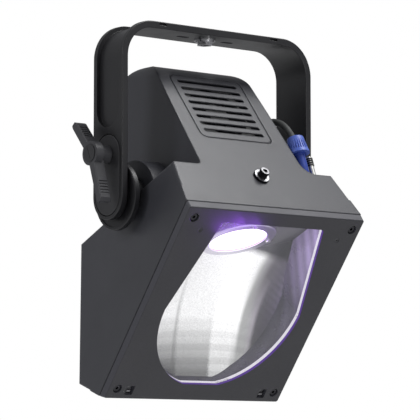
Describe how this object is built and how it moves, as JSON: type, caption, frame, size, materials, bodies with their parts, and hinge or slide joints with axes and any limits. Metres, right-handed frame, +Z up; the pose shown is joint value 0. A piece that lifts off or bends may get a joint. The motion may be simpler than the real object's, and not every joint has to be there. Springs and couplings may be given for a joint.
{
  "type": "led cyclorama light",
  "caption": "Hanging LED flood for theatre backdrops: drafted housing with a square bezel, scoop reflector and vented head, tilting in a dished yoke with a brake lever.",
  "frame": {"origin": "on the hanging thread's axis, at the upper face of the hanging nut under the yoke's bar", "axes": "+Z up along the hanging bolt, -Y the way the light shines, X along the tilt axis from arm to arm"},
  "size_m": [0.3616, 0.2933, 0.5088],
  "materials": {
    "yoke": "satin powder coat",
    "hanging_block": "satin powder coat",
    "hanging_washer": "zinc plated",
    "hanging_nut": "zinc plated",
    "arm_caps": "satin moulded",
    "pivot_bushes": "moulded nylon",
    "friction_discs": "satin powder coat",
    "pivot_bolts": "zinc plated",
    "clamp_stud": "zinc plated",
    "tilt_handle": "moulded nylon",
    "handle_cap": "satin moulded",
    "main_housing": "satin powder coat on die casting",
    "bezel_frame": "satin powder coat on die casting",
    "front_gasket": "matt",
    "front_glass": "clear toughened",
    "glass_seal": "matt",
    "reflector_scoop": "hammered anodised",
    "reflector_wall": "bright anodised",
    "led_ring": "machined",
    "led_window": "frosted",
    "led_array": "silicone domes",
    "led_board": "white solder mask on a metal core",
    "heat_sink": "extruded",
    "ring_screws": "plated",
    "fan_frame": "moulded",
    "fan_rotor": "moulded",
    "vent_grille": "satin powder coat on sheet",
    "service_screw": "black oxide",
    "power_supply": "ventilated metal case, light inside",
    "supply_bracket": "zinc plated",
    "board_posts": "turned",
    "driver_board": "glass-fibre board",
    "rear_cover": "satin powder coat on sheet",
    "cover_screws": "black oxide",
    "safety_eye": "zinc plated",
    "coil_tie": "hook and loop",
    "mains_cable": "matt",
    "cable_coil": "matt",
    "supply_plug": "moulded rubber and nylon",
    "power_inlet": "moulded",
    "power_plug": "moulded",
    "plug_collar": "moulded, ribbed",
    "plug_latch": "plated",
    "data_socket": "nickel plated",
    "data_terminator": "nickel plated",
    "terminator_grip": "matt",
    "bezel_screws": "black oxide",
    "trim_screws": "black oxide",
    "bezel_clips": "spring steel"
  },
  "bodies": {
    "yoke_frame": {"yoke": "yoke", "hanging_block": "hanging_block", "hanging_washer": "hanging_washer", "hanging_nut": "hanging_nut", "arm_caps": "arm_caps", "pivot_bushes": "pivot_bushes", "clamp_stud": "clamp_stud"},
    "housing": {"friction_discs": "friction_discs", "pivot_bolts": "pivot_bolts", "main_housing": "main_housing", "bezel_frame": "bezel_frame", "front_gasket": "front_gasket", "front_glass": "front_glass", "glass_seal": "glass_seal", "reflector_scoop": "reflector_scoop", "reflector_wall": "reflector_wall", "led_ring": "led_ring", "led_window": "led_window", "led_array": "led_array", "led_board": "led_board", "heat_sink": "heat_sink", "ring_screws": "ring_screws", "fan_frame": "fan_frame", "vent_grille": "vent_grille", "service_screw": "service_screw", "power_supply": "power_supply", "supply_bracket": "supply_bracket", "board_posts": "board_posts", "driver_board": "driver_board", "rear_cover": "rear_cover", "cover_screws": "cover_screws", "safety_eye": "safety_eye", "coil_tie": "coil_tie", "mains_cable": "mains_cable", "cable_coil": "cable_coil", "supply_plug": "supply_plug", "power_inlet": "power_inlet", "power_plug": "power_plug", "plug_collar": "plug_collar", "data_socket": "data_socket", "data_terminator": "data_terminator", "terminator_grip": "terminator_grip", "bezel_screws": "bezel_screws", "trim_screws": "trim_screws", "bezel_clips": "bezel_clips"},
    "brake_lever": {"tilt_handle": "tilt_handle", "handle_cap": "handle_cap"},
    "fan": {"fan_rotor": "fan_rotor"},
    "latch": {"plug_latch": "plug_latch"}
  },
  "joints": [
    {"name": "tilt", "type": "hinge", "parent": "yoke_frame", "child": "housing", "pos_m": [0, 0, -0.2255], "axis": [1, 0, 0], "range_deg": [-120, 110]},
    {"name": "brake_lever_turn", "type": "hinge", "parent": "yoke_frame", "child": "brake_lever", "pos_m": [-0.18, 0, -0.171], "axis": [1, 0, 0], "range_deg": [-90, 90]},
    {"name": "fan_spin", "type": "hinge", "parent": "housing", "child": "fan", "pos_m": [0, -0.02008, -0.11051], "axis": [0, -0.7771, 0.6293], "continuous": true},
    {"name": "latch_slide", "type": "slide", "parent": "housing", "child": "latch", "axis": [0, 0.3535, 0.9354], "range_m": [0, 0.003], "stiffness_N_per_m": 150}
  ]
}
